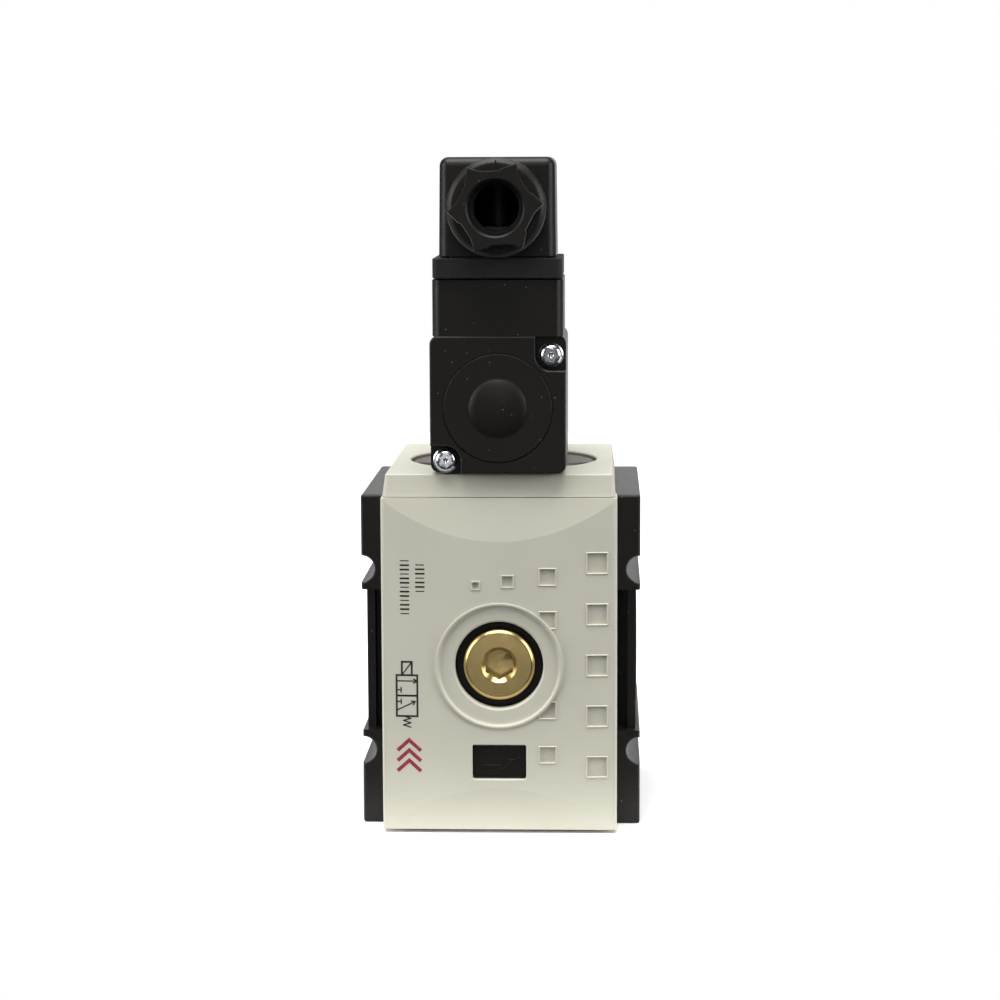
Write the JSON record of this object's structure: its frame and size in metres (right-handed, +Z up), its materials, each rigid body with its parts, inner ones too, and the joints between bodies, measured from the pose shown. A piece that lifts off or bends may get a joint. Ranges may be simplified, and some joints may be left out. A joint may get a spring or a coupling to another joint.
{
  "type": "solenoid directional valve",
  "caption": "Modular 3/2-way compressed-air shut-off valve with threaded side ports, solenoid pilot, square plug connector and cable gland.",
  "frame": {"origin": "middle of the flat rear mounting face, level with the axis of the two side ports", "axes": "+X from the inlet port to the outlet port, +Y out of the rear face, +Z up along the stem towards the plug connector"},
  "size_m": [0.0624, 0.0778, 0.1493],
  "materials": {
    "light_grey_abs": "fine moulded texture, light warm grey",
    "black_polyamide": "moulded glass-filled polyamide, matte black",
    "dark_grey_polyamide": "moulded, dark grey",
    "black_rubber": "moulded nitrile rubber",
    "brass": "turned, bright",
    "zinc_plated_steel": "bright zinc plated",
    "die_cast_zinc": "machined die casting",
    "enamelled_copper": "enamelled copper wire",
    "spring_steel": "drawn wire"
  },
  "bodies": {
    "valve": {"valve_body": "black_polyamide", "top_cap": "light_grey_abs", "front_cover": "light_grey_abs", "flow_arrow_plate": "black_polyamide", "gauge_port_plug": "brass", "gauge_port_washer": "black_rubber", "gauge_port_insert": "brass", "inlet_thread_insert": "die_cast_zinc", "outlet_thread_insert": "die_cast_zinc", "exhaust_thread_insert": "die_cast_zinc", "inlet_face_seal": "black_rubber", "outlet_face_seal": "black_rubber", "seat_sleeve": "die_cast_zinc", "return_spring": "spring_steel", "lower_guide": "brass", "pilot_bonnet": "dark_grey_polyamide", "bonnet_seal": "black_rubber", "bonnet_screw_left": "zinc_plated_steel", "bonnet_screw_right": "zinc_plated_steel", "pilot_base": "black_polyamide", "pilot_gasket": "black_rubber", "pilot_screw_upper_right": "zinc_plated_steel", "pilot_screw_lower_left": "zinc_plated_steel", "coil_casing": "black_polyamide", "coil_end_cap": "black_polyamide", "magnet_frame": "zinc_plated_steel", "coil_bobbin": "dark_grey_polyamide", "coil_winding": "enamelled_copper", "armature_tube": "zinc_plated_steel", "fixed_core": "zinc_plated_steel", "plunger_spring": "spring_steel", "left_contact_pin": "brass", "right_contact_pin": "brass", "earth_contact_pin": "brass"},
    "shuttle": {"valve_stem": "zinc_plated_steel", "piston": "dark_grey_polyamide", "piston_seal": "black_rubber", "inlet_poppet": "black_rubber", "exhaust_poppet": "black_rubber", "stem_nut": "zinc_plated_steel"},
    "armature": {"plunger": "zinc_plated_steel", "plunger_seal": "black_rubber"},
    "override": {"manual_override": "brass"},
    "connector": {"connector_gasket": "black_rubber", "connector_housing": "black_polyamide", "contact_carrier": "dark_grey_polyamide", "left_contact_terminal": "brass", "right_contact_terminal": "brass", "earth_contact_terminal": "brass", "gland_washer": "zinc_plated_steel", "gland_seal": "black_rubber"},
    "cable_nut": {"gland_nut": "black_polyamide"},
    "fixing_screw": {"connector_screw": "zinc_plated_steel"}
  },
  "joints": [
    {"name": "stem_stroke", "type": "slide", "parent": "valve", "child": "shuttle", "axis": [0, 0, -1], "range_m": [0, 0.0035], "stiffness_N_per_m": 1500, "springref_m": -0.006, "deforming": ["return_spring"]},
    {"name": "plunger_stroke", "type": "slide", "parent": "valve", "child": "armature", "axis": [0, -1, 0], "range_m": [0, 0.001], "stiffness_N_per_m": 800, "springref_m": -0.004, "deforming": ["plunger_spring"]},
    {"name": "override_turn", "type": "hinge", "parent": "valve", "child": "override", "pos_m": [-0.012, -0.02895, 0.05545], "axis": [-1, 0, 0], "range_deg": [0, 90]},
    {"name": "connector_pull", "type": "slide", "parent": "valve", "child": "connector", "axis": [0, 0, 1], "range_m": [0, 0.02]},
    {"name": "gland_nut_turn", "type": "hinge", "parent": "connector", "child": "cable_nut", "pos_m": [0, -0.0728, 0.1012], "axis": [0, -1, 0], "continuous": true},
    {"name": "connector_screw_turn", "type": "hinge", "parent": "connector", "child": "fixing_screw", "pos_m": [0, -0.05435, 0.09055], "axis": [0, 0, 1], "continuous": true}
  ]
}
